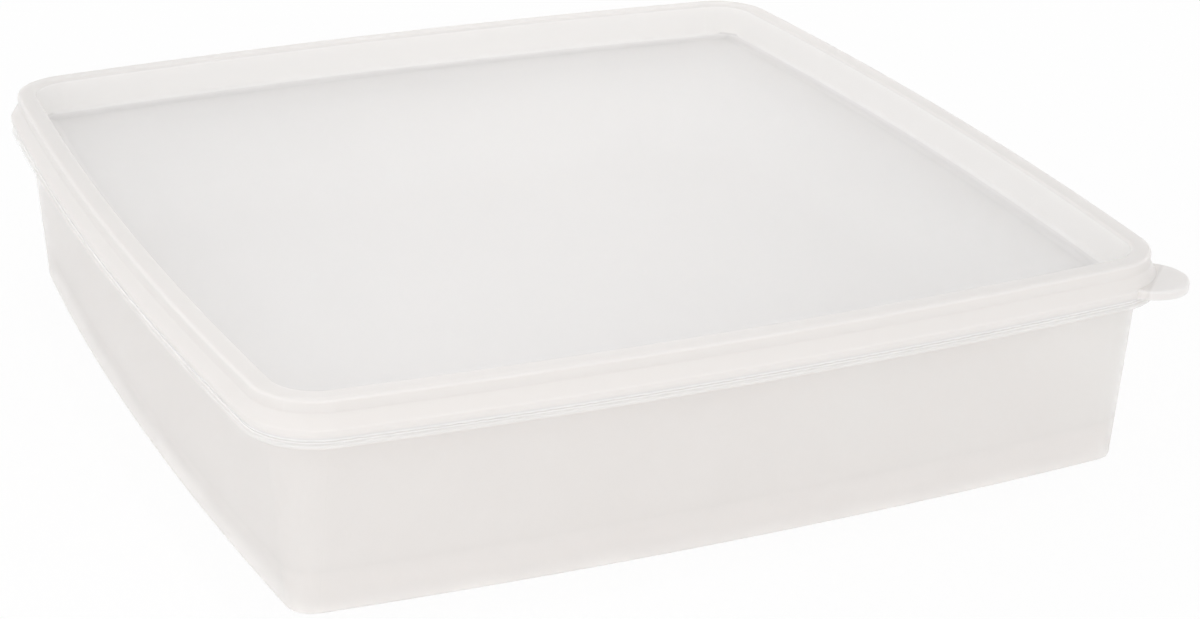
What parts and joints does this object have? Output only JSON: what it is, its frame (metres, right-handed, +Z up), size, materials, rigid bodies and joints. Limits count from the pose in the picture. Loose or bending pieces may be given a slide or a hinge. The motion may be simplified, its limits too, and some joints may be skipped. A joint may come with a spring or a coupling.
{
  "type": "food storage container",
  "caption": "Square, shallow food storage container of translucent plastic: a tapered tub with bowed sides and a lid that snaps over its rim, with a sunk panel and a corner lifting tab.",
  "frame": {"origin": "on the supporting surface, under the middle of the tub", "axes": "+Z up through the lid, X and Y square to the sides; the lid's tab is at the +X -Y corner"},
  "size_m": [0.3048, 0.3048, 0.0695],
  "materials": {
    "tub_plastic": "natural translucent moulded plastic, satin",
    "lid_plastic": "natural translucent moulded plastic, satin, softer than the tub"
  },
  "bodies": {
    "tub": {"tub": "tub_plastic"},
    "lid": {"lid": "lid_plastic"}
  },
  "joints": [
    {"name": "lid_lift", "type": "slide", "parent": "tub", "child": "lid", "axis": [0, 0, 1], "range_m": [0, 0.08]}
  ]
}
